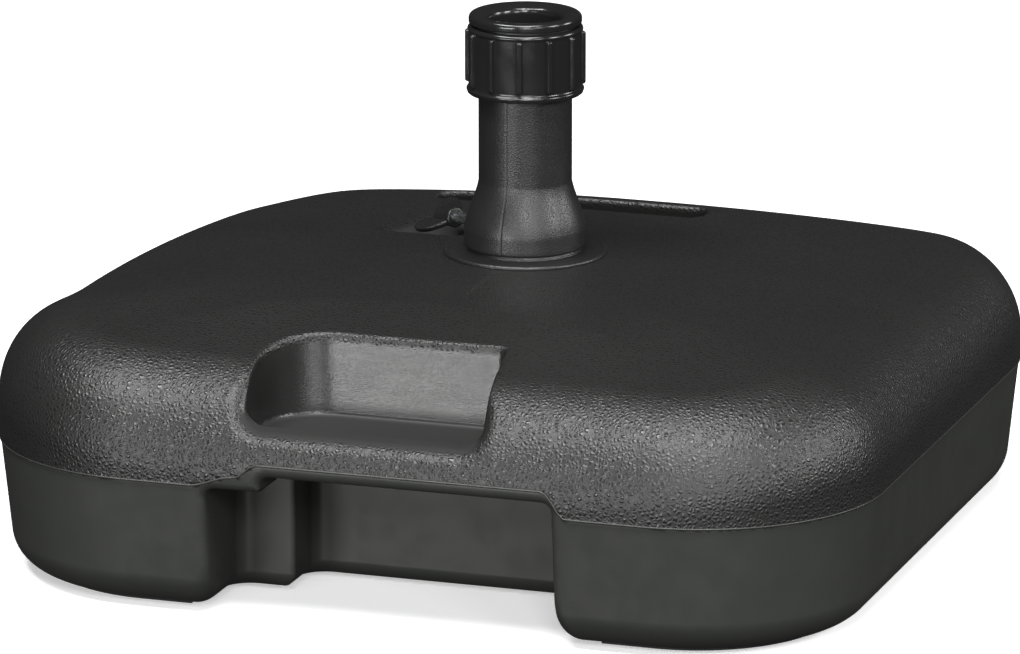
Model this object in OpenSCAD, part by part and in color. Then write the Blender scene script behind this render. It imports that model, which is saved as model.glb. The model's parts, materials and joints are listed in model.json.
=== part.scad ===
// Water-filled parasol base: a square blow-moulded tank with a plug-in pole tube,
// a ribbed clamping nut with its collet, and a wing screw in the foot of the tube.
// Millimetres, +Z up, -Y is the front (grip side), origin on the floor under the pole.

/* [Tank] */
// Width and depth of the tank at its mould parting line
tank_w = 480; // [460:5:500]
// Radius of the tank's front corners seen from above
front_corner_r = 100; // [90:2:115]
// Radius of the tank's rear corners seen from above
rear_corner_r = 124; // [110:2:130]
// Height of the flat middle of the tank above the floor
tank_top_z = 147; // [143:1:150]
// Height of the mould parting line above the floor
parting_z = 72; // [66:1:76]
// Radius of the big rounding along the upper edge
edge_r = 45; // [38:1:50]
// Radius of the rounding along the lower edge
toe_r = 18; // [12:1:22]
// Wall thickness of the blow moulding
wall = 3.2; // [2.4:0.1:4]
// Thickness of the stuck-on foot pads
pad_t = 2.2; // [1.5:0.1:3]

/* [Front grip] */
// Left end of the front pocket, seen from the front
grip_left = -80; // [-90:1:-70]
// Right end of the front pocket
grip_right = 50; // [44:1:60]
// Height of the pocket's floor
grip_floor_z = 95; // [93:0.5:98]
// Height of the lip that the hand reaches over
grip_lip_z = 100; // [98:0.5:103]
// Height of the underside of the grip bar, over the deep hand space
hand_ceiling_z = 78.5; // [76:0.5:80]

/* [Pole tube] */
// Radius of the pole socket, for poles up to 38 mm
pole_r = 19.3; // [19.2:0.1:19.6]
// Outside radius of the tube
tube_r = 25; // [24.8:0.1:25.4]
// Radius of the bell foot
bell_r = 32.7; // [31:0.1:33.5]
// Height of the flange's top above the tank's flat middle
flange_h = 2; // [1.8:0.1:3]
// Radius of the flange round the foot of the tube
flange_r = 44; // [43:0.5:46]

/* [Clamping nut] */
// Radius of the nut's body between its ribs
nut_r = 30.3; // [30:0.1:31]
// Number of grip ribs
rib_count = 12; // [8:1:16]
// Radius over the ribs
rib_r = 32.3; // [31.8:0.1:33]

/* [Wing screw] */
// Direction of the wing screw round the pole, anticlockwise from +X
wing_angle = 146; // [140:1:152]
// Droop of the wing screw below the horizontal
wing_droop = 6; // [4:0.5:7]
// Radius of the screw's shank
shank_r = 3; // [2.8:0.1:3.2]

/* [Hidden] */

round_fn = 96;
soft_fn = 32;
half_w = tank_w / 2;
flange_z = tank_top_z + flange_h;

// The upper edge runs lower along the front and rear than along the sides
side_edge_z = flange_z - 57.3;
front_edge_z = flange_z - 66;
front_corner_z = flange_z - 60;
rear_corner_z = flange_z - 68;
toe_inset = 9;
front_flat_y = -131;
rear_flat_y = 122;
flat_half = 131;
flat_corner_r = 55;
rear_flat_r = 95;

// One row for each corner: side, end, plan radius, height of the edge's centre
corners = [
    [-1, -1, front_corner_r, front_corner_z], [1, -1, front_corner_r, front_corner_z],
    [-1, 1, rear_corner_r, rear_corner_z], [1, 1, rear_corner_r, rear_corner_z]
];

// Pockets in plan and height
grip_back_y = -168;
grip_floor_front_y = -213;
grip_corner_r = 32;
hand_left = -65;
hand_right = 92;
hand_back_y = -153;
hand_step_left = -95;
hand_step_back_y = -185;
hand_step_ceiling_z = 70;
slot_left = -88;
slot_right = 66;
slot_front_y = 100;
slot_back_y = 124;
slot_corner_r = 8;
slot_depth = 22;
dish_left = -95;
dish_right = -42;
dish_front_y = 21;
dish_back_y = 63;
dish_corner_r = 10;
dish_depth = 17;
far_front_y = -half_w - 20;
// Height of the cutting tools, well past any surface they cut
dig = 80;

// Neck, pipe and seat
neck_r = 36;
neck_wall = 3.5;
neck_depth = 20;
seat_h = 1.9;
pipe_r = 23;
plug_bottom_z = pad_t + wall + 0.6;
pipe_bottom_z = plug_bottom_z + 6.4;
pipe_top_z = flange_z + 34;
socket_clear = 0.3;

// Heights on the tube and nut
bell_bottom_z = flange_z + seat_h;
band_top_z = flange_z + 13;
flare_top_z = flange_z + 37.5;
nut_bottom_z = flange_z + 85.2;
nut_top_z = flange_z + 122.2;
thread_r = tube_r - 0.7;
tube_top_z = flange_z + 108;
counterbore_z = flange_z + 95;
collet_r = pole_r + 2.4;
head_z = nut_top_z + 1.2;
head_top_z = flange_z + 128.5;
head_r = 30.2;
rib_phase = 12.5;
bore_cut = 60;

// Wing screw
wing_root_r = bell_r;
wing_root_z = flange_z + 7.2;
hub_in = 61;
wing_rest = 62;
shank_in = pole_r + 2.6;
insert_r = shank_r + 2;

inks = "#26282a";
glossy = "#141517";

// Puts children on the wing screw's axis: local +Z runs outwards from the pole
module on_wing_axis(out) {
    rotate([0, 0, wing_angle])
        translate([wing_root_r, 0, wing_root_z])
            rotate([0, 90 + wing_droop, 0])
                translate([0, 0, out - wing_root_r])
                    children();
}

// Middle of a corner's plan arc, on one side or end
function arc_c(r) = half_w - r;

// Rounded square standing on z = low, with its corner centres kept in place
module square_slab(inset, low, thick) {
    translate([0, 0, low])
        hull()
            for (c = corners)
                translate([c[0] * arc_c(c[2]), c[1] * arc_c(c[2]), 0])
                    cylinder(r = c[2] - inset, h = thick, $fn = soft_fn);
}

// Ring with a round section in each corner: its outer edge is set in from the plan by edge
module corner_rings(edge, section_r, z) {
    for (c = corners)
        translate([c[0] * arc_c(c[2]), c[1] * arc_c(c[2]), z == undef ? c[3] : z])
            rotate_extrude($fn = soft_fn)
                translate([c[2] - edge, 0])
                    circle(r = section_r, $fn = soft_fn);
}

// Round bars along the four upper edges
module edge_bars(r) {
    reach = half_w - edge_r;
    span = half_w - rear_corner_r;
    for (s = [-1, 1]) {
        translate([-span, s * reach, front_edge_z])
            rotate([0, 90, 0])
                cylinder(r = r, h = 2 * span, $fn = soft_fn);
        translate([s * reach, -span, side_edge_z])
            rotate([-90, 0, 0])
                cylinder(r = r, h = 2 * span, $fn = soft_fn);
    }
}

// Body of the tank with no pockets, shrunk by inset all over
module tank_form(inset) {
    slab = 1;
    hull() {
        square_slab(inset, parting_z - slab, 2 * slab);
        corner_rings(edge_r, edge_r - inset, undef);
        edge_bars(edge_r - inset);
        translate([0, 0, tank_top_z - inset - slab])
            for (sx = [-1, 1]) {
                translate([sx * (flat_half - flat_corner_r), front_flat_y + flat_corner_r, 0])
                    cylinder(r = flat_corner_r, h = slab, $fn = soft_fn);
                translate([sx * (flat_half - rear_flat_r), rear_flat_y - rear_flat_r, 0])
                    cylinder(r = rear_flat_r, h = slab, $fn = soft_fn);
            }
    }
    hull() {
        square_slab(inset, parting_z - slab, slab);
        corner_rings(toe_inset + toe_r, toe_r - inset, pad_t + toe_r);
    }
}

// Plan of a box with its corners rounded, made of true arcs
module round_box_2d(x0, x1, y0, y1, r) {
    translate([x0 + r, y0])
        square([x1 - x0 - 2 * r, y1 - y0]);
    translate([x0, y0 + r])
        square([x1 - x0, y1 - y0 - 2 * r]);
    for (x = [x0 + r, x1 - r], y = [y0 + r, y1 - r])
        translate([x, y])
            circle(r = r, $fn = round_fn);
}

// Pocket above the grip bar: round at its left rear corner, square at the right
module grip_plan(grow, front_y) {
    back_y = grip_back_y + grow;
    big_r = grip_corner_r + grow;
    x0 = grip_left - grow;
    x1 = grip_right + grow;
    depth = back_y - front_y;
    translate([x0 + big_r, front_y])
        square([x1 - x0 - big_r, depth]);
    intersection() {
        translate([x0, front_y])
            square([big_r + 1, depth]);
        union() {
            translate([x0 + big_r, back_y - big_r])
                circle(r = big_r, $fn = round_fn);
            translate([x0, front_y - big_r])
                square([big_r + 1, depth]);
        }
    }
}

// Pocket behind and above the grip bar, with a lip along its front
module front_grip(grow) {
    translate([0, 0, grip_lip_z - grow])
        linear_extrude(height = dig)
            grip_plan(grow, far_front_y);
    translate([0, 0, grip_floor_z - grow])
        linear_extrude(height = dig)
            grip_plan(grow, grip_floor_front_y - grow);
}

// Hand space under the grip bar, open to the front and to the floor
module hand_space(grow) {
    low = -5;
    corner = 8 + grow;
    overlap = 20;
    translate([0, 0, low])
        linear_extrude(height = hand_ceiling_z + grow - low)
            round_box_2d(hand_left - grow, hand_right + grow, far_front_y, hand_back_y + grow, corner);
    translate([0, 0, low])
        linear_extrude(height = hand_step_ceiling_z + grow - low)
            round_box_2d(
                hand_step_left - grow, hand_left + overlap,
                far_front_y, hand_step_back_y + grow, corner
            );
}

// Long narrow recess behind the pole
module rear_slot(grow) {
    translate([0, 0, tank_top_z - slot_depth - grow])
        linear_extrude(height = dig)
            round_box_2d(
                slot_left - grow, slot_right + grow,
                slot_front_y - grow, slot_back_y + grow, slot_corner_r + grow
            );
}

// Oval dish that the wings of the screw dip into
module wing_dish(grow) {
    translate([0, 0, tank_top_z - dish_depth - grow])
        linear_extrude(height = dig)
            round_box_2d(
                dish_left - grow, dish_right + grow,
                dish_front_y - grow, dish_back_y + grow, dish_corner_r + grow
            );
}

module pockets(grow) {
    front_grip(grow);
    hand_space(grow);
    rear_slot(grow);
    wing_dish(grow);
}

// Blow-moulded tank: outer skin, hollow inside, with a neck and a floor socket
module tank() {
    color(inks)
        difference() {
            union() {
                difference() {
                    tank_form(0);
                    pockets(0);
                    difference() {
                        tank_form(wall);
                        pockets(wall);
                    }
                }
                // Neck that hangs down inside from the flat middle
                translate([0, 0, tank_top_z - neck_depth])
                    cylinder(r = neck_r + neck_wall, h = neck_depth - 0.5, $fn = round_fn);
                // Socket on the floor for the lower end of the pipe
                translate([0, 0, pad_t + 0.5])
                    cylinder(r = pipe_r + 4, h = 26, $fn = round_fn);
            }
            translate([0, 0, tank_top_z - neck_depth - 1])
                cylinder(r = neck_r, h = neck_depth + 2, $fn = round_fn);
            translate([0, 0, pad_t + wall])
                cylinder(r = pipe_r + socket_clear, h = 40, $fn = round_fn);
        }
}

// Screwed-in flange round the foot of the tube, with the raised seat for the bell
module neck_flange() {
    lip = 0.9;
    color(inks)
        rotate_extrude($fn = round_fn)
            union() {
                difference() {
                    polygon([
                        [pipe_r + socket_clear, tank_top_z - neck_depth],
                        [neck_r - 0.1, tank_top_z - neck_depth],
                        [neck_r - 0.1, tank_top_z],
                        [flange_r, tank_top_z],
                        [flange_r, flange_z - lip],
                        [flange_r - lip, flange_z],
                        [flange_r - 3, flange_z - 0.4],
                        [31, flange_z - 0.4],
                        [31, bell_bottom_z],
                        [pipe_r + socket_clear, bell_bottom_z]
                    ]);
                    // Groove for the seal
                    translate([neck_r + 0.6, tank_top_z - 1])
                        square([5, 2.02]);
                }
                translate([flange_r - lip, flange_z - lip])
                    circle(r = lip, $fn = round_fn);
            }
}

// Flat rubber seal between the flange and the tank
module neck_seal() {
    color("#1b1b1b")
        translate([0, 0, tank_top_z])
            difference() {
                cylinder(r = neck_r + 5.3, h = 1, $fn = round_fn);
                translate([0, 0, -1])
                    cylinder(r = neck_r + 0.9, h = 3, $fn = round_fn);
            }
}

// Outline of the bell's flare between the straight band and the tube
function flare(z) =
    let (t = (z - band_top_z) / (flare_top_z - band_top_z))
    bell_r + (tube_r - bell_r) * (t * t * (3 - 2 * t) * 0.45 + t * 0.55);

// Bell foot and tube in one moulding, threaded at the top
module pole_tube() {
    steps = 16;
    band = [for (i = [0:steps]) band_top_z + (flare_top_z - band_top_z) * i / steps];
    hollow_r = bell_r - 3.4;
    color(inks)
        difference() {
            rotate_extrude($fn = round_fn)
                polygon(concat(
                    [[pole_r, bell_bottom_z], [bell_r - 0.8, bell_bottom_z], [bell_r, bell_bottom_z + 0.8]],
                    [for (z = band) [flare(z), z]],
                    [
                        [tube_r, nut_bottom_z + 4], [thread_r, nut_bottom_z + 4.7],
                        [thread_r, tube_top_z - 1], [thread_r - 1, tube_top_z], [pole_r, tube_top_z]
                    ]
                ));
            // Cored-out foot
            translate([0, 0, bell_bottom_z - 1])
                cylinder(r = hollow_r, h = band_top_z - bell_bottom_z + 1, $fn = round_fn);
            // Seat for the pipe
            translate([0, 0, bell_bottom_z - 1])
                cylinder(r = pipe_r + 0.05, h = pipe_top_z - bell_bottom_z + 1, $fn = round_fn);
            // Room for the collet's fingers
            translate([0, 0, counterbore_z])
                cylinder(r = collet_r + 0.3, h = 40, $fn = round_fn);
            translate([0, 0, bell_bottom_z - 1])
                cylinder(r = pole_r, h = 200, $fn = round_fn);
            on_wing_axis(0)
                cylinder(r = insert_r + 0.05, h = bore_cut, $fn = round_fn);
        }
}

// Pipe that carries the pole down to the tank's floor socket
module socket_pipe() {
    color("#2c2e30")
        difference() {
            translate([0, 0, pipe_bottom_z])
                cylinder(r = pipe_r, h = pipe_top_z - pipe_bottom_z, $fn = round_fn);
            translate([0, 0, pipe_bottom_z - 1])
                cylinder(r = pole_r, h = pipe_top_z - pipe_bottom_z + 2, $fn = round_fn);
            on_wing_axis(0)
                cylinder(r = insert_r + 0.05, h = bore_cut, $fn = round_fn);
        }
}

// Foot under the pipe that closes it and stops the pole
module end_plug() {
    color("#1d1e20")
        translate([0, 0, plug_bottom_z])
            cylinder(r = pipe_r, h = pipe_bottom_z - plug_bottom_z, $fn = round_fn);
}

// Clamping collet: slotted fingers below, dished glossy head above
module collet() {
    slots = 6;
    slot_w = 2;
    rim = 2.2;
    tip_z = counterbore_z + 1;
    color(glossy)
        difference() {
            rotate_extrude($fn = round_fn)
                union() {
                    polygon([
                        [pole_r, tip_z], [collet_r - 0.9, tip_z], [collet_r, tip_z + 3],
                        [collet_r, head_z], [head_r - 1, head_z], [head_r, head_z + 0.8],
                        [head_r, head_top_z - rim], [head_r - rim, head_top_z],
                        [pole_r + 2.6, head_top_z - 1.9], [pole_r + 0.9, head_top_z - 2.9],
                        [pole_r, head_top_z - 5]
                    ]);
                    translate([head_r - rim, head_top_z - rim])
                        circle(r = rim, $fn = round_fn);
                }
            for (i = [0:slots / 2 - 1])
                rotate([0, 0, 15 + i * 360 / slots])
                    translate([-40, -slot_w / 2, tip_z - 1])
                        cube([80, slot_w, 13]);
        }
}

// Spring ring that keeps the nut on the collet
module snap_ring() {
    color("silver")
        translate([0, 0, tube_top_z + 2.7])
            difference() {
                cylinder(r = collet_r + 2.2, h = 1.2, $fn = round_fn);
                translate([0, 0, -1])
                    cylinder(r = collet_r + 0.05, h = 4, $fn = round_fn);
                rotate([0, 0, 40])
                    translate([0, -2, -1])
                        cube([40, 4, 4]);
            }
}

// Slip washer between the turning nut and the collet's head
module slip_washer() {
    color("#3a3c3e")
        translate([0, 0, nut_top_z + 0.1])
            difference() {
                cylinder(r = head_r - 2.4, h = 1, $fn = round_fn);
                translate([0, 0, -1])
                    cylinder(r = collet_r + 0.1, h = 4, $fn = round_fn);
            }
}

// One grip rib with rounded ends
module grip_rib(low, high) {
    rib_w = 2.7;
    translate([nut_r - 1, -rib_w / 2, low])
        cube([rib_r - nut_r + 0.4, rib_w, high - low]);
    translate([rib_r - 0.9, 0, low])
        cylinder(r = rib_w / 2, h = high - low, $fn = round_fn);
}

// Ribbed clamping nut
module clamp_nut() {
    rib_low = nut_bottom_z + 5.2;
    rib_high = nut_top_z - 3;
    shoulder_z = tube_top_z + 4;
    color(glossy) {
        rotate_extrude($fn = round_fn)
            polygon([
                [tube_r + 0.35, nut_bottom_z], [nut_r - 1.2, nut_bottom_z],
                [nut_r + 0.6, nut_bottom_z + 0.7], [nut_r + 1.1, nut_bottom_z + 1.6],
                [nut_r + 1.1, nut_bottom_z + 3.4], [nut_r + 0.7, nut_bottom_z + 4.2],
                [nut_r, nut_bottom_z + 4.6], [nut_r, nut_top_z - 2.8],
                [nut_r + 0.5, nut_top_z - 2.3], [nut_r + 0.5, nut_top_z - 1.4],
                [nut_r - 0.3, nut_top_z - 0.4], [nut_r - 1.2, nut_top_z],
                [collet_r + 0.4, nut_top_z], [collet_r + 0.4, shoulder_z],
                [thread_r + 0.1, shoulder_z], [thread_r + 0.1, nut_bottom_z + 5.2],
                [tube_r + 0.35, nut_bottom_z + 4.6]
            ]);
        for (i = [0:rib_count - 1])
            rotate([0, 0, rib_phase + i * 360 / rib_count])
                grip_rib(rib_low, rib_high);
    }
}

// Threaded insert pressed through the bell's wall and the pipe's wall
module screw_insert() {
    color("goldenrod")
        difference() {
            on_wing_axis(pole_r + 1.2)
                cylinder(r = insert_r, h = bell_r - pole_r - 1.6, $fn = round_fn);
            on_wing_axis(0)
                cylinder(r = shank_r + 0.08, h = bore_cut, $fn = round_fn);
        }
}

// Steel shank of the wing screw
module screw_shank() {
    color("silver")
        on_wing_axis(shank_in)
            cylinder(r = shank_r, h = hub_in + 13 - shank_in, $fn = round_fn);
}

// Plate shape of one wing, rooted on the hub, with its tip swept outwards
module wing_2d() {
    polygon([
        [0, 1], [4.5, 2.5], [11.5, 9.5], [14.5, 15.5], [14.4, 20.5], [12.2, 23.6],
        [9, 24], [6, 21.5], [2.5, 16.5], [0, 15]
    ]);
}

// Moulded wing knob on the shank
module wing_knob() {
    hub_len = 15;
    wing_t = 3;
    color(inks)
        difference() {
            on_wing_axis(hub_in) {
                cylinder(r = 5.6, h = hub_len, $fn = round_fn);
                rotate([0, 0, wing_rest])
                    for (s = [0, 180])
                        rotate([90, 0, s])
                            translate([0, 0, -wing_t / 2])
                                linear_extrude(height = wing_t)
                                    wing_2d();
            }
            on_wing_axis(hub_in - 1)
                cylinder(r = shank_r + 0.02, h = 14, $fn = round_fn);
        }
}

// Pad at the screw's tip that presses on the pole without turning
module pressure_pad() {
    color("#d8d8d0")
        on_wing_axis(pole_r + 0.9)
            cylinder(r = shank_r - 0.25, h = 1.6, $fn = round_fn);
}

// Stuck-on pad under one corner, drawn at the right rear and mirrored
module foot_pad(sx, sy) {
    inner = 112;
    reach = half_w - toe_inset - toe_r;
    centre = half_w - (sy < 0 ? front_corner_r : rear_corner_r);
    middle = max(centre, inner);
    color("#202224")
        mirror([sx < 0 ? 1 : 0, 0, 0])
            mirror([0, sy < 0 ? 1 : 0, 0])
                linear_extrude(height = pad_t) {
                    translate([inner, inner])
                        square([middle - inner + 1, reach - inner]);
                    translate([inner, inner])
                        square([reach - inner, middle - inner + 1]);
                    intersection() {
                        translate([centre, centre])
                            circle(r = reach - centre, $fn = round_fn);
                        translate([inner, inner])
                            square(reach - inner);
                    }
                }
}

module foot_front_left() { foot_pad(-1, -1); }
module foot_front_right() { foot_pad(1, -1); }
module foot_rear_left() { foot_pad(-1, 1); }
module foot_rear_right() { foot_pad(1, 1); }

tank();
neck_flange();
neck_seal();
pole_tube();
socket_pipe();
end_plug();
collet();
snap_ring();
slip_washer();
clamp_nut();
screw_insert();
screw_shank();
wing_knob();
pressure_pad();
foot_front_left();
foot_front_right();
foot_rear_left();
foot_rear_right();
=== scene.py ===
import json
import math
import bmesh
import bpy
import numpy as np
from mathutils import Matrix, Vector


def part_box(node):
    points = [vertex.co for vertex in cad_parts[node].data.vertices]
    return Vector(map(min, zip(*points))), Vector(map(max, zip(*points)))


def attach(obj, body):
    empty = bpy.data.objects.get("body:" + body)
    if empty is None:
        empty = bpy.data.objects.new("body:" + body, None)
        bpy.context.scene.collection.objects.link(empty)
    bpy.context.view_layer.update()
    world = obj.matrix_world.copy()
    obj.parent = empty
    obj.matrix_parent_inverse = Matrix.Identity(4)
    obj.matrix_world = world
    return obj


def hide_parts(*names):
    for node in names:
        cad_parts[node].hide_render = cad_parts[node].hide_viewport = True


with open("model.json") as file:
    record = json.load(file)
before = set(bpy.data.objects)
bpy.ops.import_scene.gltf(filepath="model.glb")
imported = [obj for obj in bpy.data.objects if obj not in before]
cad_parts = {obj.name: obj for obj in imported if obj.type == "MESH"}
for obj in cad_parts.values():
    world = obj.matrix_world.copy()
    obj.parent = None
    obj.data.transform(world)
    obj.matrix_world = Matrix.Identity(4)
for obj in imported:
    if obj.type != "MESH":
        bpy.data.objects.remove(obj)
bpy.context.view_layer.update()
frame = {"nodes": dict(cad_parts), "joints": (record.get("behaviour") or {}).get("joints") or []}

MM = 0.001

# Sizes taken from the CAD frame, in millimetres
tank_low, tank_high = (corner * 1000 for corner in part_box("tank"))
flange_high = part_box("neck_flange")[1] * 1000
tube_low, tube_high = (corner * 1000 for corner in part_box("pole_tube"))
nut_low, nut_high = (corner * 1000 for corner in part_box("clamp_nut"))
collet_low, collet_high = (corner * 1000 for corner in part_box("collet"))
HALF = tank_high.x
TOP = tank_high.z
BOTTOM = tank_low.z
SEAT = tube_low.z
FLANGE_R = flange_high.x
BELL_R = tube_high.x

# Sizes that the frame's boxes don't give, in millimetres
FLANGE_Z = TOP + 2.0  # top of the flange's rim
TUBE_R = 25.0  # outside of the tube
POLE_R = 19.3  # bore for the pole
PIPE_R = 23.0  # outside of the pipe below the bell
PIPE_GAP = 0.3  # between the pipe and the flange
FRONT_R = 100.0  # front corners, seen from above
REAR_R = 124.0  # rear corners, seen from above
EDGE_R = 45.0  # rounding along the top edge
TOE_R = 18.0  # rounding along the bottom edge
PARTING = 72.0  # height of the parting line on the plain sides
WALL = 3.2  # wall of the tank
NECK_HOLE_R = 36.2  # hole in the tank's top
SOCKET_R = 25.3  # middle of the ring that locates the pipe on the tank's floor
SOCKET_HALF = 1.9  # half the thickness of that ring
SOCKET_TOP = 28.0  # height of that ring
SLOPE_END = 195.0  # where the slopes of the top meet its rounded edge
POCKET_RIM = 137.0  # height at which the grip pocket's walls start to lean


# ---------------------------------------------------------------- shape helpers

def ease(a, b, t):
    """0 before a, 1 after b, smooth between. b may lie below a, and then the step runs the other way."""
    t = np.clip((t - a) / (b - a), 0.0, 1.0)
    return t * t * (3.0 - 2.0 * t)


def ramp(t, soft):
    """0 below zero and t above it, with a rounded knee."""
    return 0.5 * (t + np.sqrt(t * t + soft * soft))


def both(a, b, r):
    """Distance to the meeting of two shapes, with an edge of radius r."""
    u = np.maximum(a + r, 0.0)
    v = np.maximum(b + r, 0.0)
    return np.minimum(-r, np.maximum(a, b)) + np.sqrt(u * u + v * v)


def parting_height(x, y):
    """Height of the mould's parting line, which climbs over the hand space."""
    rise = 6.0 * ease(-103, -79, x) + 7.6 * ease(-78, -66, x)
    return PARTING + rise * (1.0 - ease(88, 101, x)) * (1.0 - ease(-215, -190, y))


def top_drop(x, y):
    """How far the top surface lies below its flat middle."""
    front_start, side_start = 118.0, 137.0
    # The front slopes gently as far as a bowed crease, and more steeply beyond it
    crease = -121.0 - np.where(x < -20, 0.0032, 0.0020) * (x + 20.0) ** 2
    crease = np.maximum(crease, -185.0)
    edge_drop = 14.6 - 3.0 * ease(-110, -185, x)
    steep = 0.19 * (1.0 - ease(60, 155, np.abs(x + 15.0)))
    gentle = (edge_drop - steep * (SLOPE_END + crease)) / (SLOPE_END - front_start)
    front = gentle * ramp(-front_start - y, 14.0) + steep * ramp(crease - y, 3.0)
    # The rear slopes down from a shoulder that bows the other way
    shoulder = 128.0 - np.where(x < 10, 0.00121, 0.0007) * (x - 10.0) ** 2
    rear = 0.26 * ramp(y - shoulder, 4.0)
    # Drop of the two side edges, which varies along them
    left = 6.8 + np.where(y > -90, 2.6e-4, -8.0e-4) * (y + 90.0) ** 2
    right = 8.3 - 1.8 * ease(20.0, 180.0, y)
    side = np.where(x < 0, left, right) / (SLOPE_END - side_start) * ramp(np.abs(x) - side_start, 20.0)
    ends = np.maximum(front, rear)
    return (ends ** 4 + side ** 4 + 1e-6) ** 0.25


def skin(x, y, z):
    """Outside of the tank before any pocket is cut."""
    step_in, draft, roof_scale = 0.7, 0.105, 0.975
    below = np.maximum(parting_height(x, y) - z, 0.0)
    corner_r = FRONT_R + (REAR_R - FRONT_R) * ease(-60.0, 60.0, y)
    plan_r = corner_r - step_in * ease(0.0, 0.8, below) - draft * below
    qx = np.abs(x) - HALF + corner_r
    qy = np.abs(y) - HALF + corner_r
    outer = np.hypot(np.maximum(qx, 0.0), np.maximum(qy, 0.0))
    plan = outer + np.minimum(np.maximum(qx, qy), 0.0) - plan_r
    roof = (z - (TOP - top_drop(x, y))) * roof_scale
    body = both(plan, roof, EDGE_R)
    return both(body, BOTTOM - z, TOE_R)


def rear_slot(x, y, z):
    """Long slot behind the pole, with upright walls."""
    left, right, front, rear = -88.0, 66.0, 100.0, 123.5
    depth, corner, fillet = 22.0, 8.0, 5.0
    plan = both(np.abs(x - (left + right) / 2) - (right - left) / 2,
                np.abs(y - (front + rear) / 2) - (rear - front) / 2, corner)
    return both(plan, TOP - depth - z, fillet)


def grip_pocket(x, y, z):
    """Pocket behind the grip bar. Its floor climbs to the lip along the front."""
    left_x, right_x, back_y, floor_z, lip_rise = -80.5, 45.0, -165.0, 95.0, 5.6
    deep = np.clip(POCKET_RIM - z, 0.0, 45.0)
    back = y - back_y + 0.11 * deep
    left = left_x + 0.08 * deep - x
    right = (x - right_x + 0.13 * (y - back_y) + 0.05 * deep) * 0.99
    plan = both(both(back, left, 33.0), right, 4.0)
    floor = floor_z + lip_rise * ease(-209, -219, y)
    return both(plan, floor - z, 2.2 + 9.0 * ease(-208, -222, y))


def hand_pocket(x, y, z):
    """Space for the hand under the grip bar, with a shallower step on its left."""
    corner, fillet = 8.0, 5.0
    left, right, back, ceiling = -65.0, 92.0, -153.0, 78.5
    step_left, step_right, step_back, step_ceiling = -95.0, -50.0, -185.0, 70.0
    plan = both(both(left - x, y - back, corner), x - right, corner)
    deep = both(plan, z - ceiling, fillet)
    plan = np.maximum(both(step_left - x, y - step_back, corner), x - step_right)
    step = both(plan, z - step_ceiling, fillet)
    return np.minimum(deep, step)


def dish(x, y, z):
    """Dish for the wing screw: steep along its front, running out gently to the rear and left."""
    middle_x, middle_y, half_x, half_y = -68.5, 58.5, 27.0, 37.5
    depth, front, slope_x = 17.5, 26.0, -68.0
    floor = TOP - depth + 0.27 * ramp(y - front, 3.0) + 0.62 * ramp(slope_x - x, 4.0)
    plan = both(np.abs(x - middle_x) - half_x, np.abs(y - middle_y) - half_y, 9.0)
    return both(plan, floor - z, 5.0)


def tank_shape(x, y, z):
    """Signed distance to the tank, millimetres, negative inside."""
    shape = skin(x, y, z)
    shape = both(shape, -grip_pocket(x, y, z), 1.8 + 6.0 * ease(-208, -222, y))
    shape = both(shape, -hand_pocket(x, y, z), 4.5 + 8.0 * (1.0 - ease(BOTTOM, BOTTOM + 26.0, z)))
    shape = both(shape, -rear_slot(x, y, z), 2.6)
    shape = both(shape, -dish(x, y, z), 1.8)
    r = np.hypot(x, y)
    shape = np.maximum(shape, -np.maximum(r - NECK_HOLE_R, BOTTOM + WALL - z))
    ring = np.maximum(np.abs(r - SOCKET_R) - SOCKET_HALF, np.maximum(z - SOCKET_TOP, BOTTOM - z))
    return np.minimum(shape, ring)


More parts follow.
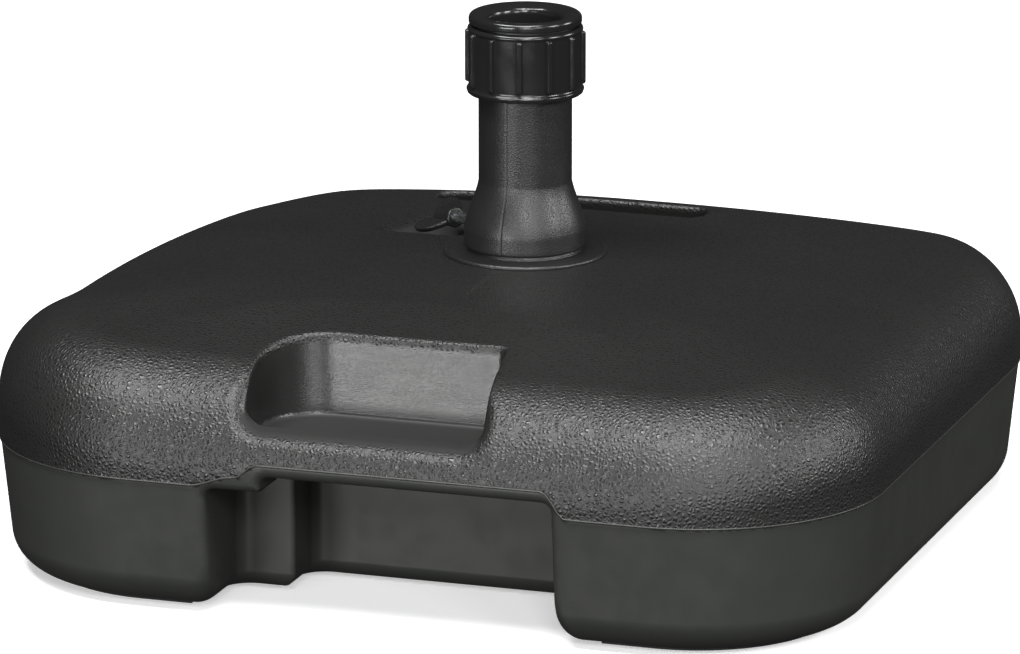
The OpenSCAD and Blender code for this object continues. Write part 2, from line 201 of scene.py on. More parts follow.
def surface_net(shape, low, high, step):
    """Quad mesh of the shape's zero surface, with each point moved onto it."""
    axes = [np.arange(a, b + step, step) for a, b in zip(low, high)]
    x, y, z = np.meshgrid(*axes, indexing="ij", sparse=True)
    slab = 16
    f = np.concatenate(
        [shape(x[i:i + slab] + 0 * y + 0 * z, y + 0 * z + 0 * x[i:i + slab], z + 0 * y + 0 * x[i:i + slab])
         for i in range(0, len(axes[0]), slab)], axis=0)
    solid = f < 0
    n = [len(a) for a in axes]
    corners = [(i, j, k) for i in (0, 1) for j in (0, 1) for k in (0, 1)]

    def at(a, c):
        return a[c[0]:n[0] - 1 + c[0], c[1]:n[1] - 1 + c[1], c[2]:n[2] - 1 + c[2]]

    count = sum(at(solid, c).astype(np.int8) for c in corners)
    cells = np.argwhere((count > 0) & (count < 8))
    index = np.full([m - 1 for m in n], -1, np.int64)
    index[tuple(cells.T)] = np.arange(len(cells))
    total = np.zeros((len(cells), 3))
    hits = np.zeros(len(cells))
    for axis in range(3):
        for c in corners:
            if c[axis]:
                continue
            d = list(c)
            d[axis] = 1
            fa = f[tuple((cells + c).T)]
            fb = f[tuple((cells + d).T)]
            cross = (fa < 0) != (fb < 0)
            t = np.where(cross, fa / np.where(cross, fa - fb, 1.0), 0.0)
            point = np.repeat(np.array([c], float), len(cells), axis=0)
            point[:, axis] = t
            total += point * cross[:, None]
            hits += cross
    points = (cells + total / hits[:, None]) * step + np.array(low)
    faces = []
    for axis in range(3):
        u, v = (axis + 1) % 3, (axis + 2) % 3
        first = [slice(1, m - 1) for m in n]
        second = [slice(1, m - 1) for m in n]
        first[axis] = slice(0, n[axis] - 1)
        second[axis] = slice(1, n[axis])
        a = solid[tuple(first)]
        b = solid[tuple(second)]
        base = np.argwhere(a != b)
        full = base + [0 if i == axis else 1 for i in range(3)]
        outward = a[tuple(base.T)]
        ring = []
        for du, dv in ((1, 1), (0, 1), (0, 0), (1, 0)):
            cell = full.copy()
            cell[:, u] -= du
            cell[:, v] -= dv
            ring.append(index[tuple(cell.T)])
        quad = np.stack(ring, axis=1)
        quad[~outward] = quad[~outward][:, ::-1]
        faces.append(quad)
    faces = np.concatenate(faces)

    def gradient(p):
        e = 0.05
        cols = []
        for axis in range(3):
            d = np.zeros(3)
            d[axis] = e
            cols.append((shape(*(p + d).T) - shape(*(p - d).T)) / (2 * e))
        return np.stack(cols, axis=1)

    for _ in range(4):
        g = gradient(points)
        move = shape(*points.T) / np.maximum((g * g).sum(1), 0.2)
        points -= np.clip(move, -0.8, 0.8)[:, None] * g
    g = gradient(points)
    normals = g / np.linalg.norm(g, axis=1)[:, None]
    return points, faces, normals


def new_object(name, mesh, material, body, material_slot, *nodes):
    """Links a finished mesh as a visible piece of one CAD body."""
    obj = bpy.data.objects.new(name, mesh)
    bpy.context.scene.collection.objects.link(obj)
    mesh.materials.clear()
    mesh.materials.append(material)
    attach(obj, body)
    if nodes:
        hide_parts(*nodes)
    return obj


def smooth(mesh):
    mesh.polygons.foreach_set("use_smooth", [True] * len(mesh.polygons))
    mesh.update()


def turned_mesh(name, profile, sides=192, radius=None):
    """Closed body of revolution from a closed outline of (r, z) points in millimetres.
    radius(r, z, angle) may change the radius of the outer points."""
    profile = np.array(profile, float)
    angles = np.arange(sides) * 2 * math.pi / sides
    r = np.repeat(profile[:, 0][:, None], sides, axis=1)
    z = np.repeat(profile[:, 1][:, None], sides, axis=1)
    if radius is not None:
        r = radius(r, z, angles[None, :])
    co = np.stack([r * np.cos(angles), r * np.sin(angles), z], axis=2).reshape(-1, 3) * MM
    m = len(profile)
    i = np.arange(m)[:, None]
    j = np.arange(sides)[None, :]
    i2 = (i + 1) % m
    j2 = (j + 1) % sides
    quads = np.stack([i * sides + j, i * sides + j2, i2 * sides + j2, i2 * sides + j], axis=2).reshape(-1, 4)
    mesh = bpy.data.meshes.new(name)
    mesh.from_pydata(co.tolist(), [], quads.tolist())
    smooth(mesh)
    return mesh


def arc(cx, cz, r, start, end, steps):
    """Points of a circular arc, angles in degrees."""
    return [(cx + r * math.cos(math.radians(a)), cz + r * math.sin(math.radians(a)))
            for a in np.linspace(start, end, steps)]


def line(a, b, steps):
    """Points between two ends, without the last."""
    return [(a[0] + (b[0] - a[0]) * i / steps, a[1] + (b[1] - a[1]) * i / steps) for i in range(steps)]


def cutter_object(name, shape, place):
    """Object made from a bmesh and placed by a matrix, for cut() to use and remove."""
    mesh = bpy.data.meshes.new(name)
    shape.to_mesh(mesh)
    shape.free()
    cutter = bpy.data.objects.new(name, mesh)
    bpy.context.scene.collection.objects.link(cutter)
    cutter.matrix_world = place
    return cutter


def cut(obj, cutters, material):
    """Takes the cutters' volume out of obj's mesh, which then has the one material."""
    for cutter in cutters:
        modifier = obj.modifiers.new("cut", "BOOLEAN")
        modifier.operation = "DIFFERENCE"
        modifier.solver = "EXACT"
        modifier.object = cutter
    bpy.context.view_layer.update()
    mesh = bpy.data.meshes.new_from_object(obj.evaluated_get(bpy.context.evaluated_depsgraph_get()))
    obj.modifiers.clear()
    obj.data = mesh
    for cutter in cutters:
        bpy.data.objects.remove(cutter)
    mesh.materials.clear()
    mesh.materials.append(material)


def sharpen(obj, degrees):
    """Smooth shading with crisp edges above an angle."""
    smooth(obj.data)
    obj.data.set_sharp_from_angle(angle=math.radians(degrees))


# ---------------------------------------------------------------- materials

class Nodes:
    """Small helper that adds and links shader nodes."""

    def __init__(self, name):
        self.material = bpy.data.materials.new(name)
        self.material.use_nodes = True
        self.tree = self.material.node_tree
        self.shader = self.tree.nodes["Principled BSDF"]
        self.coords = self.add("ShaderNodeTexCoord").outputs["Object"]

    def add(self, kind, **values):
        made = self.tree.nodes.new(kind)
        for key, value in values.items():
            setattr(made, key, value)
        return made

    def link(self, a, b):
        self.tree.links.new(a, b)

    def math(self, operation, a, b=None, clamp=False):
        made = self.add("ShaderNodeMath", operation=operation, use_clamp=clamp)
        for socket, value in zip(made.inputs, (a, b)):
            if isinstance(value, (int, float)):
                socket.default_value = value
            elif value is not None:
                self.link(value, socket)
        return made.outputs[0]

    def noise(self, scale, detail=3.0, rough=0.5, vector=None):
        made = self.add("ShaderNodeTexNoise")
        made.inputs["Scale"].default_value = scale
        made.inputs["Detail"].default_value = detail
        made.inputs["Roughness"].default_value = rough
        self.link(vector or self.coords, made.inputs["Vector"])
        return made.outputs["Fac"]

    def voronoi(self, scale, feature="F1", vector=None):
        made = self.add("ShaderNodeTexVoronoi", feature=feature)
        made.inputs["Scale"].default_value = scale
        self.link(vector or self.coords, made.inputs["Vector"])
        return made.outputs["Distance"]

    def spread(self, value, a, b, low, high):
        made = self.add("ShaderNodeMapRange", interpolation_type="SMOOTHSTEP")
        for key, number in (("From Min", a), ("From Max", b), ("To Min", low), ("To Max", high)):
            made.inputs[key].default_value = number
        self.link(value, made.inputs["Value"])
        return made.outputs["Result"]

    def blend(self, fac, a, b):
        """Number a where fac is 0 and b where it is 1."""
        made = self.add("ShaderNodeMix", data_type="FLOAT")
        for socket, value in ((made.inputs[0], fac), (made.inputs[2], a), (made.inputs[3], b)):
            if isinstance(value, (int, float)):
                socket.default_value = value
            else:
                self.link(value, socket)
        return made.outputs[0]

    def colour(self, fac, a, b):
        made = self.add("ShaderNodeMix", data_type="RGBA")
        self.link(fac, made.inputs[0])
        for socket, value in ((made.inputs[6], a), (made.inputs[7], b)):
            if isinstance(value, tuple):
                socket.default_value = (*value, 1.0)
            else:
                self.link(value, socket)
        return made.outputs[2]

    def attribute(self, name):
        return self.add("ShaderNodeAttribute", attribute_name=name).outputs["Fac"]

    def bump(self, height, distance, strength, below=None):
        made = self.add("ShaderNodeBump")
        made.inputs["Distance"].default_value = distance
        made.inputs["Strength"].default_value = strength
        self.link(height, made.inputs["Height"])
        if below is not None:
            self.link(below, made.inputs["Normal"])
        return made.outputs["Normal"]

    def set(self, **values):
        for key, value in values.items():
            socket = self.shader.inputs[key.replace("_", " ")]
            if isinstance(value, (int, float)):
                socket.default_value = value
            elif isinstance(value, tuple):
                socket.default_value = (*value, 1.0)
            else:
                self.link(value, socket)
        return self.material


def tank_material():
    """Blow-moulded plastic: grained above the parting line, satin below it, smooth in the pockets."""
    n = Nodes("tank_plastic")
    upper = n.spread(n.attribute("above"), -0.3, 0.3, 0.0, 1.0)
    inner = n.spread(n.attribute("inset"), 2.0, 5.0, 0.0, 1.0)
    # Pebble grain, slightly warped so that no cell is regular
    warp = n.add("ShaderNodeVectorMath", operation="MULTIPLY_ADD")
    shift = n.add("ShaderNodeTexNoise")
    shift.inputs["Scale"].default_value = 300.0
    n.link(n.coords, shift.inputs["Vector"])
    n.link(shift.outputs["Color"], warp.inputs[0])
    warp.inputs[1].default_value = (0.0005, 0.0005, 0.0005)
    n.link(n.coords, warp.inputs[2])
    pebble = n.voronoi(430.0, "DISTANCE_TO_EDGE", warp.outputs[0])
    dome = n.spread(pebble, 0.0, 0.46, 0.0, 1.0)
    small = n.voronoi(1000.0, "DISTANCE_TO_EDGE", warp.outputs[0])
    fine = n.spread(small, 0.0, 0.4, 0.0, 1.0)
    grain = n.blend(inner, dome, n.math("MULTIPLY", fine, 0.16))
    satin = n.noise(900.0, 3.0, 0.6)
    height = n.blend(upper, n.math("MULTIPLY", satin, 0.04), grain)
    coarse = n.bump(height, 0.00023, 1.0)
    waviness = n.noise(22.0, 2.0, 0.5)
    normal = n.bump(waviness, 0.0016, 0.25, coarse)
    # Colour: charcoal with soft mottling and dusty low spots. The satin half below the parting line is
    # greener, and its colour is also lightened as painted bounce light from the floor, which the floor itself
    # does not give
    mottle = n.noise(14.0, 4.0, 0.6)
    top = n.colour(mottle, (0.0078, 0.0083, 0.0076), (0.0115, 0.0120, 0.0112))
    # Satin half: its own greener tone, lightened further as painted bounce light from the floor
    low = n.colour(mottle, (0.0260, 0.0275, 0.0245), (0.0340, 0.0358, 0.0320))
    base = n.colour(upper, low, top)
    dust = n.math("MULTIPLY", n.spread(n.noise(75.0, 5.0, 0.7), 0.62, 0.85, 0.0, 1.0), 0.25)
    base = n.colour(dust, base, (0.055, 0.055, 0.052))
    rough_grain = n.blend(dome, 0.46, 0.27)
    # The pocket's walls are polished and its floor is dull
    facing = n.add("ShaderNodeSeparateXYZ")
    n.link(n.add("ShaderNodeNewGeometry").outputs["Normal"], facing.inputs[0])
    rough_inner = n.spread(facing.outputs["Z"], 0.4, 0.8, 0.27, 0.75)
    rough = n.blend(inner, rough_grain, rough_inner)
    rough = n.blend(upper, n.spread(n.noise(60.0, 4.0, 0.6), 0.3, 0.7, 0.34, 0.42), rough)
    return n.set(Base_Color=base, Roughness=rough, Normal=normal)


def satin_material(name, dark, light, rough_low, rough_high, grain_scale, grain_depth):
    """Moulded plastic with a fine grain, flow marks and faint handling wear."""
    n = Nodes(name)
    flow = n.noise(28.0, 4.0, 0.55)
    base = n.colour(flow, dark, light)
    scuff = n.spread(n.noise(160.0, 6.0, 0.75), 0.64, 0.80, 0.0, 1.0)
    base = n.colour(n.math("MULTIPLY", scuff, 0.25), base, tuple(3.0 * c for c in light))
    rough = n.spread(n.noise(95.0, 4.0, 0.6), 0.3, 0.7, rough_low, rough_high)
    rough = n.math("ADD", rough, n.math("MULTIPLY", scuff, 0.10))
    grain = n.voronoi(grain_scale)
    normal = n.bump(n.spread(grain, 0.0, 0.7, 1.0, 0.0), grain_depth, 0.7)
    normal = n.bump(n.noise(40.0, 2.0, 0.5), 0.0002, 0.2, normal)
    return n.set(Base_Color=base, Roughness=rough, Normal=normal)


def rubber_material():
    """Dull rubber with a fine pitted surface."""
    n = Nodes("foot_rubber")
    cells = n.voronoi(1400.0)
    base = n.colour(n.noise(120.0, 5.0, 0.7), (0.012, 0.012, 0.013), (0.030, 0.030, 0.031))
    rough = n.spread(n.noise(300.0), 0.3, 0.7, 0.75, 0.92)
    return n.set(Base_Color=base, Roughness=rough, Normal=n.bump(cells, 0.0003, 0.6))


def metal_material(name, dark, light, rough_low, rough_high):
    """Machined or plated metal with turning marks and small stains."""
    n = Nodes(name)
    stretch = n.add("ShaderNodeMapping")
    stretch.inputs["Scale"].default_value = (1.0, 1.0, 14.0)
    n.link(n.coords, stretch.inputs["Vector"])
    marks = n.noise(260.0, 4.0, 0.6, stretch.outputs[0])
    base = n.colour(n.noise(90.0, 4.0, 0.6), dark, light)
    rough = n.spread(marks, 0.3, 0.7, rough_low, rough_high)
    return n.set(Base_Color=base, Roughness=rough, Metallic=1.0, Normal=n.bump(marks, 0.00008, 0.5))


def floor_material():
    """Pale studio floor that glows a little, so that it stays white without strong light."""
    n = Nodes("studio_floor")
    base = n.colour(n.noise(1.2, 3.0, 0.5), (0.86, 0.86, 0.86), (0.88, 0.88, 0.88))
    return n.set(Base_Color=base, Roughness=0.9, Specular_IOR_Level=0.1,
                 Emission_Color=(1.0, 1.0, 1.0), Emission_Strength=0.45)


TANK = tank_material()
SATIN = satin_material("tube_plastic", (0.0085, 0.0088, 0.0085), (0.0125, 0.0129, 0.0124),
                       0.33, 0.38, 1300.0, 0.00010)
GLOSS = satin_material("gloss_plastic", (0.008, 0.008, 0.0085), (0.012, 0.012, 0.0125),
                       0.13, 0.20, 2600.0, 0.000012)
PALE = satin_material("washer_plastic", (0.50, 0.50, 0.47), (0.58, 0.58, 0.55),
                      0.35, 0.50, 1200.0, 0.00004)
RUBBER = rubber_material()
STEEL = metal_material("spring_steel", (0.42, 0.43, 0.45), (0.60, 0.61, 0.62), 0.24, 0.40)
BRASS = metal_material("brass", (0.55, 0.38, 0.15), (0.72, 0.53, 0.25), 0.22, 0.38)


# ---------------------------------------------------------------- tank

def build_tank():
    """Skin of the tank. Its attributes tell the material where the parting line and the pockets are."""
    step = 2.0
    margin = 2.5 * step
    points, faces, normals = surface_net(
        tank_shape, (-HALF - margin, -HALF - margin, BOTTOM - margin),
        (HALF + margin, HALF + margin, TOP + margin), step)
    mesh = bpy.data.meshes.new("tank_skin")
    mesh.from_pydata((points * MM).tolist(), [], faces.tolist())
    smooth(mesh)
    x, y, z = points.T
    above = mesh.attributes.new("above", "FLOAT", "POINT")
    above.data.foreach_set("value", (z - parting_height(x, y)).astype(np.float32))
    inset = mesh.attributes.new("inset", "FLOAT", "POINT")
    inset.data.foreach_set("value", (-skin(x, y, z)).astype(np.float32))
    mesh.normals_split_custom_set_from_vertices(normals.tolist())
    return new_object("tank_skin", mesh, TANK, "base", "tank_plastic", "tank")


def build_seam():
    """Fine raised line where the two halves of the mould met."""
    rows = []
    # Four corners in turn, and the first again to close the last straight side
    corners = ((1, 1, REAR_R, 0), (-1, 1, REAR_R, 90), (-1, -1, FRONT_R, 180), (1, -1, FRONT_R, 270),
               (1, 1, REAR_R, 360))
    for sx, sy, r, start in corners:
        angles = np.radians(np.linspace(start, start + 90, 46))
        bend = [(sx * (HALF - r) + r * c, sy * (HALF - r) + r * s, c, s)
                for c, s in zip(np.cos(angles), np.sin(angles))]
        if rows:
            last, first = np.array(rows[-1]), np.array(bend[0])
            rows += [tuple(last + (first - last) * t) for t in np.linspace(0, 1, 92)[1:-1]]
        if start < 360:
            rows += bend
    x, y, out_x, out_y = np.array(rows).T
    z = parting_height(x, y)
    section = [(-1.2, -0.8), (-0.2, -0.7), (0.15, -0.4), (0.25, 0.0), (0.15, 0.35), (-0.2, 0.5), (-1.2, 0.6)]
    rings = [np.stack([x + out_x * d, y + out_y * d, z + h], axis=1) for d, h in section]
    co = np.stack(rings, axis=1).reshape(-1, 3) * MM
    m, k = len(rows), len(section)
    faces = []
    for i in range(m):
        for j in range(k):
            a, b = i * k + j, i * k + (j + 1) % k
            c, d = ((i + 1) % m) * k + (j + 1) % k, ((i + 1) % m) * k + j
            faces.append((a, d, c, b))
    mesh = bpy.data.meshes.new("parting_line")
    mesh.from_pydata(co.tolist(), [], faces)
    smooth(mesh)
    above = mesh.attributes.new("above", "FLOAT", "POINT")
    above.data.foreach_set("value", np.full(len(co), -2.0, np.float32))
    return new_object("parting_line", mesh, TANK, "base", "tank_plastic")


build_tank()
build_seam()


# ---------------------------------------------------------------- flange and tube

def build_flange():
    """Flange with a rolled rim, a shallow face and the raised seat for the bell."""
    lip, neck_r, bore_r = 1.5, 35.9, PIPE_R + PIPE_GAP
    seat_r, groove_r = 31.0, 31.6
    bottom, face = TOP - 20.0, FLANGE_Z - 0.4
    outline = line((bore_r, bottom), (neck_r, bottom), 4)
    outline += line((neck_r, bottom), (neck_r, TOP), 4)
    outline += line((neck_r, TOP), (FLANGE_R - 0.3, TOP), 4)
    outline += arc(FLANGE_R - lip, FLANGE_Z - lip, lip, -20, 100, 12)
    outline += [(FLANGE_R - 2.6, FLANGE_Z - 0.25), (FLANGE_R - 3.4, face), (40.0, FLANGE_Z - 0.42)]
    outline += line((36.0, FLANGE_Z - 0.42), (groove_r, face), 3)
    outline += [(groove_r, face), (31.15, FLANGE_Z - 0.2), (seat_r, FLANGE_Z + 0.2), (seat_r, SEAT - 0.3),
                (30.7, SEAT)]
    outline += line((30.0, SEAT), (bore_r, SEAT), 3)
    outline += line((bore_r, SEAT), (bore_r, bottom), 6)
    mesh = turned_mesh("flange_ring", outline)
    obj = new_object("flange_ring", mesh, SATIN, "base", "tube_plastic", "neck_flange")
    sharpen(obj, 50)


def build_tube():
    """Bell foot and tube, with the mould line down its front and the hole for the wing screw."""
    seam = math.radians(-95.5)
    band_top, flare_top = FLANGE_Z + 13.0, FLANGE_Z + 37.5
    thread_r = TUBE_R - 0.7
    tube_top, thread_low = tube_high.z, nut_low.z + 4.0
    # Rooms inside it: for the collet's fingers, for the pipe and inside the bell
    finger_r, finger_low = 22.0, FLANGE_Z + 95.0
    pipe_r, pipe_top = 23.05, FLANGE_Z + 34.0
    bell_room_r = 29.3
    outline = [(30.2, SEAT), (31.4, SEAT), (32.2, SEAT + 0.25), (32.6, SEAT + 0.7), (BELL_R, SEAT + 1.3)]
    outline += line((BELL_R, SEAT + 3.0), (BELL_R, band_top - 0.6), 4)
    outline += [(BELL_R, band_top - 0.6), (BELL_R - 0.15, band_top)]
    for t in np.linspace(0.02, 1.0, 40):
        fall = (t * t * (3 - 2 * t)) * 0.45 + t * 0.55
        outline.append((BELL_R - 0.15 + (TUBE_R - BELL_R + 0.15) * fall,
                        band_top + (flare_top - band_top) * t))
    outline += line((TUBE_R, flare_top + 1.0), (TUBE_R, thread_low), 10)
    outline += [(TUBE_R, thread_low), (thread_r, nut_low.z + 4.7)]
    outline += line((thread_r, nut_low.z + 5.0), (thread_r, tube_top - 1.0), 4)
    outline += [(thread_r, tube_top - 1.0), (thread_r - 1.0, tube_top), (22.2, tube_top)]
    outline += line((finger_r, tube_top - 0.2), (finger_r, finger_low), 4)
    outline += line((finger_r, finger_low), (POLE_R, FLANGE_Z + 94.9), 2)
    outline += line((POLE_R, FLANGE_Z + 94.9), (POLE_R, pipe_top), 6)
    outline += line((POLE_R, pipe_top), (pipe_r, pipe_top), 2)
    outline += line((pipe_r, pipe_top), (pipe_r, band_top), 4)
    outline += line((pipe_r, band_top), (bell_room_r, band_top), 2)
    outline += line((bell_room_r, band_top), (bell_room_r, SEAT + 0.2), 4)

    def radius(r, z, angle):
        # Mould line down the front of the tube
        off = (angle - seam + math.pi) % (2 * math.pi) - math.pi
        groove = 0.34 * np.exp(-((off * r) / 0.45) ** 2) * (0.3 + 0.7 * ease(flare_top, band_top, z))
        return r - np.where((r > 24.4) & (z < nut_low.z + 3.5), groove, 0.0)

    mesh = turned_mesh("tube_bell", outline, 480, radius)
    obj = new_object("tube_bell", mesh, SATIN, "tube", "tube_plastic", "pole_tube")
    hole_r, hole_length, hole_out = 5.05 * MM, 60 * MM, 30.0
    shape = bmesh.new()
    bmesh.ops.create_cone(shape, cap_ends=True, segments=64,
                          radius1=hole_r, radius2=hole_r, depth=hole_length)
    cut(obj, [cutter_object("hole", shape, screw_matrix(hole_out))], SATIN)
    sharpen(obj, 40)


def screw_matrix(out):
    """Placement whose +Z runs outwards along the wing screw's axis, out millimetres from the pole."""
    joint = next(j for j in frame["joints"] if j["name"] == "screw_turn")
    axis = Vector(joint["axis"]).normalized()
    root = Vector(joint["pos_m"])
    flat = math.hypot(root.x, root.y) * 1000
    side = Vector((0, 0, 1)).cross(axis).normalized()
    down = side.cross(axis)
    place = Matrix((down, side, axis)).transposed().to_4x4()
    place.translation = root + axis * (out - flat) * MM
    return place


build_flange()
build_tube()


# ---------------------------------------------------------------- nut and head

def build_nut():
    """Clamping nut with upright ribs that end in round tips."""
    low, high = nut_low.z, nut_high.z
    nut_r, rib_r, thread_r, bore_r = 30.3, 32.3, 24.4, 22.1
    rib_count, rib_phase, rib_half, rib_tip = 12, math.radians(12.5), 1.45, 1.3
    rib_low, rib_high = low + 5.2, high - 3.0
    thread_top = FLANGE_Z + 112.0
    outline = [(25.35, low + 0.3), (25.7, low), (29.1, low), (30.2, low + 0.2), (30.9, low + 0.8)]
    outline += arc(nut_r - 0.15, low + 2.4, 1.25, -55, 65, 10)
    outline += [(nut_r + 0.12, low + 4.1), (nut_r, low + 4.6)]
    outline += line((nut_r, rib_low - 0.2), (nut_r, rib_low + 1.8), 10)
    outline += line((nut_r, rib_low + 1.8), (nut_r, rib_high - 1.8), 6)
    outline += line((nut_r, rib_high - 1.8), (nut_r, rib_high + 0.2), 10)
    outline += [(nut_r + 0.1, rib_high + 0.25), (nut_r + 0.5, high - 2.5)]
    outline += arc(nut_r - 1.5, high - 2.1, 2.1, 0, 90, 10)
    outline += line((nut_r - 2.0, high), (22.2, high), 3)
    outline += [(bore_r, high - 0.1)]
    outline += line((bore_r, high - 1.0), (bore_r, thread_top), 3)
    outline += line((bore_r, thread_top), (thread_r, thread_top), 2)
    outline += line((thread_r, thread_top), (thread_r, low + 5.2), 4)
    outline += [(thread_r, low + 5.2), (25.35, low + 4.6)]

    def radius(r, z, angle):
        pitch = 2 * math.pi / rib_count
        off = np.abs((angle - rib_phase + pitch / 2) % pitch - pitch / 2) * nut_r
        across = np.sqrt(np.clip(1.0 - (off / rib_half) ** 6, 0.0, 1.0))
        past = np.abs(z - (rib_low + rib_high) / 2) - (rib_high - rib_low) / 2 + rib_tip
        ends = np.sqrt(np.clip(1.0 - (past.clip(0.0) / rib_tip) ** 2, 0.0, 1.0))
        body = (r > nut_r - 0.05) & (z > low + 4.8) & (z < high - 2.7)
        return r + np.where(body, (rib_r - nut_r) * across * ends, 0.0)

    mesh = turned_mesh("nut_body", outline, 720, radius)
    obj = new_object("nut_body", mesh, GLOSS, "nut", "gloss_plastic", "clamp_nut")
    sharpen(obj, 55)


def build_head():
    """Glossy dished head, with the collet's slotted fingers below it."""
    top, head_r, rim = collet_high.z, 30.2, 2.6
    under = nut_high.z + 1.2
    tip, finger_r = collet_low.z, 21.7
    outline = [(POLE_R, tip + 0.3), (POLE_R + 0.3, tip), (finger_r - 0.9, tip), (finger_r, tip + 3.0)]
    outline += line((finger_r, tip + 3.0), (finger_r, under), 6)
    outline += line((finger_r, under), (head_r - 1.0, under), 3)
    outline += arc(head_r - 0.8, under + 0.8, 0.8, -80, 0, 7)
    outline += line((head_r, under + 1.2), (head_r, top - rim), 3)
    outline += arc(head_r - rim, top - rim, rim, 0, 105, 16)
    outline += [(24.4, top - 0.45), (23.2, top - 0.95), (22.2, top - 1.25), (21.3, top - 1.6),
                (20.5, top - 2.1), (19.9, top - 2.8), (19.5, top - 3.7), (POLE_R, top - 5.0)]
    outline += line((POLE_R, top - 6.0), (POLE_R, tip + 0.3), 8)
    mesh = turned_mesh("collet_head", outline, 240)
    obj = new_object("collet_head", mesh, GLOSS, "clamp", "gloss_plastic", "collet")
    # Three slots right across leave six fingers
    slot_size = (80 * MM, 2 * MM, 13 * MM)
    slot_middle = Matrix.Translation((0, 0, (tip + 5.5) * MM))
    cutters = []
    for i in range(3):
        shape = bmesh.new()
        bmesh.ops.create_cube(shape, size=1.0)
        bmesh.ops.scale(shape, vec=slot_size, verts=shape.verts)
        turn = Matrix.Rotation(math.radians(15 + 60 * i), 4, "Z")
        cutters.append(cutter_object("slot", shape, slot_middle @ turn))
    cut(obj, cutters, GLOSS)
    sharpen(obj, 40)


build_nut()
build_head()


# ---------------------------------------------------------------- wing screw

def ear_mesh(shape, side):
    """One ear of the wing: a leaf-shaped plate, thicker at its root."""
    knots = [(2.0, 0.6), (5.6, 2.2), (9.6, 6.2), (13.0, 11.2), (14.5, 16.6), (14.2, 21.0), (12.2, 23.6),
             (9.2, 23.7), (6.8, 21.2), (4.4, 17.6), (2.0, 15.0)]
    outline = []
    for i in range(len(knots) - 1):
        p = [np.array(knots[max(0, min(len(knots) - 1, i + k))]) for k in (-1, 0, 1, 2)]
        for t in np.arange(6) / 6:
            outline.append(0.5 * (2 * p[1] + (p[2] - p[0]) * t
                                  + (2 * p[0] - 5 * p[1] + 4 * p[2] - p[3]) * t * t
                                  + (3 * p[1] - p[0] - 3 * p[2] + p[3]) * t ** 3))
    outline.append(np.array(knots[-1]))
    middle = np.mean(outline, axis=0)
    rings = []
    for pull, half in ((1.0, 0.45), (0.985, 0.95), (0.95, 1.3), (0.88, 1.45), (0.55, 1.35), (0.25, 1.3)):
        rings.append([middle + (np.array(p) - middle) * pull for p in outline] + [half])
    made = []
    for sign in (1, -1):
        for ring in rings:
            half = ring[-1]
            made.append([
                shape.verts.new((side * p[0] * MM, sign * half * (1.25 - 0.02 * p[0]) * MM, p[1] * MM))
                for p in ring[:-1]])
    upper, lower = made[:len(rings)], made[len(rings):]
    m = len(outline)

    def bridge(a, b):
        for i in range(m):
            j = (i + 1) % m
            shape.faces.new((a[i], a[j], b[j], b[i]))

    for stack in (upper, lower):
        for a, b in zip(stack, stack[1:]):
            bridge(a, b)
        shape.faces.new(stack[-1])
    bridge(upper[0], lower[0])


def build_knob():
    """Two ears, turned about the screw's axis, and the hub that joins them."""
    wing_turn, hub_out = 62, 61.0
    shape = bmesh.new()
    for side in (1, -1):
        ear_mesh(shape, side)
    turn = Matrix.Rotation(math.radians(wing_turn), 3, "Z")
    bmesh.ops.rotate(shape, cent=(0, 0, 0), matrix=turn, verts=shape.verts)
    # Hub with a shoulder towards the pole and a slightly domed end
    hub = [(3.02, 0.0), (4.9, 0.0), (5.4, 0.25), (5.6, 0.8), (5.6, 2.6), (5.35, 3.2), (5.2, 4.2), (5.2, 12.6),
           (5.0, 13.8), (4.3, 14.7), (3.0, 15.0), (0.01, 15.15), (0.01, 13.0), (3.02, 13.0)]
    sides = 64
    rows = [[shape.verts.new((r * math.cos(a) * MM, r * math.sin(a) * MM, z * MM))
             for a in np.arange(sides) * 2 * math.pi / sides] for r, z in hub]
    for a, b in zip(rows, rows[1:] + rows[:1]):
        for i in range(sides):
            j = (i + 1) % sides
            shape.faces.new((a[i], a[j], b[j], b[i]))
    bmesh.ops.recalc_face_normals(shape, faces=shape.faces)
    shape.transform(screw_matrix(hub_out))
    mesh = bpy.data.meshes.new("wing_ears")
    shape.to_mesh(mesh)
    shape.free()
    obj = new_object("wing_ears", mesh, SATIN, "knob", "tube_plastic", "wing_knob")
    sharpen(obj, 50)


build_knob()


# ---------------------------------------------------------------- CAD nodes that stay

KEPT = {
    "neck_seal": RUBBER, "socket_pipe": SATIN, "end_plug": SATIN, "snap_ring": STEEL, "slip_washer": SATIN,
    "screw_insert": BRASS, "screw_shank": STEEL, "pressure_pad": PALE, "foot_front_left": RUBBER,
    "foot_front_right": RUBBER, "foot_rear_left": RUBBER, "foot_rear_right": RUBBER,
}
for name, material in KEPT.items():
    node = frame["nodes"][name]
    node.data.materials.clear()
    node.data.materials.append(material)


# ---------------------------------------------------------------- studio

def area_light(name, place, aim, width, height, power):
    data = bpy.data.lights.new(name, "AREA")
    data.shape = "RECTANGLE"
    data.size = width
    data.size_y = height
    data.energy = power
    light = bpy.data.objects.new(name, data)
    bpy.context.scene.collection.objects.link(light)
    light.location = place
    light.rotation_euler = (Vector(aim) - Vector(place)).to_track_quat("-Z", "Y").to_euler()


floor_mesh = bpy.data.meshes.new("floor")
reach = 9.0
floor_corners = [(-reach, -reach, 0), (reach, -reach, 0), (reach, reach, 0), (-reach, reach, 0)]
floor_mesh.from_pydata(floor_corners, [], [(0, 1, 2, 3)])
floor = bpy.data.objects.new("floor", floor_mesh)
bpy.context.scene.collection.objects.link(floor)
floor_mesh.materials.append(floor_material())
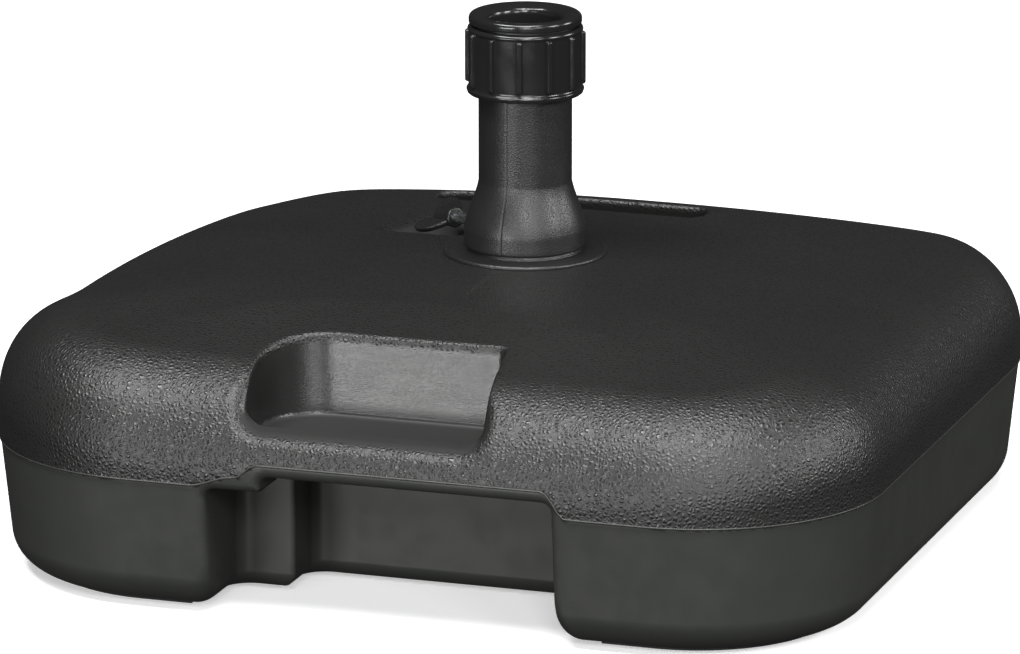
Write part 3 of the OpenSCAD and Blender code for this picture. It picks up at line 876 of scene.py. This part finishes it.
# The floor takes light and shadow, but it neither bounces light onto the object nor reflects in it,
# so the dark plastic renders darker than it would on a real white floor
floor.visible_diffuse = False
floor.visible_glossy = False


def bank(name, azimuth, elevation, distance, width, height, radiance):
    """Soft light seen from the object at an azimuth (anticlockwise from +X) and an elevation, in degrees."""
    a, e = math.radians(azimuth), math.radians(elevation)
    aim = Vector((0.0, 0.0, 0.12))
    place = aim + distance * Vector((math.cos(e) * math.cos(a), math.cos(e) * math.sin(a), math.sin(e)))
    area_light(name, place, aim, width, height, radiance * math.pi * width * height)


bank("overhead_left", -134.0, 60.0, 2.8, 1.2, 0.6, 22.0)
bank("overhead_right", -80.0, 62.0, 2.8, 1.2, 0.6, 20.0)
bank("overhead_front", -48.0, 64.0, 2.8, 0.9, 0.6, 18.0)
bank("front_low", -108.5, 1.5, 3.0, 1.4, 0.5, 20.0)
bank("front_low_right", -68.0, 1.5, 3.0, 1.3, 0.5, 8.0)
bank("front_middle", -100.0, 22.0, 3.0, 0.9, 0.6, 3.0)
bank("front_high", -70.0, 28.0, 3.3, 0.8, 0.8, 20.0)
bank("front_right", -45.0, 20.0, 3.0, 0.7, 0.8, 9.0)
bank("right_high", -10.0, 25.0, 3.0, 0.8, 0.9, 18.0)
bank("right_rear", 25.0, 20.0, 3.0, 0.8, 0.8, 13.0)

world = bpy.data.worlds.new("studio")
world.use_nodes = True
world.node_tree.nodes["Background"].inputs["Color"].default_value = (0.95, 0.98, 1.0, 1.0)
world.node_tree.nodes["Background"].inputs["Strength"].default_value = 0.03
bpy.context.scene.world = world
bpy.context.scene.view_settings.view_transform = "Standard"

camera_data = bpy.data.cameras.new("camera")
camera_data.sensor_width = 36.0
camera_data.lens = 282.35
camera_data.clip_end = 50.0
camera = bpy.data.objects.new("camera", camera_data)
bpy.context.scene.collection.objects.link(camera)
camera.location = (1.3095, -3.9397, 1.1995)
camera.rotation_euler = Vector((-0.3068, 0.9170, -0.2550)).to_track_quat("-Z", "Y").to_euler()
bpy.context.scene.camera = camera
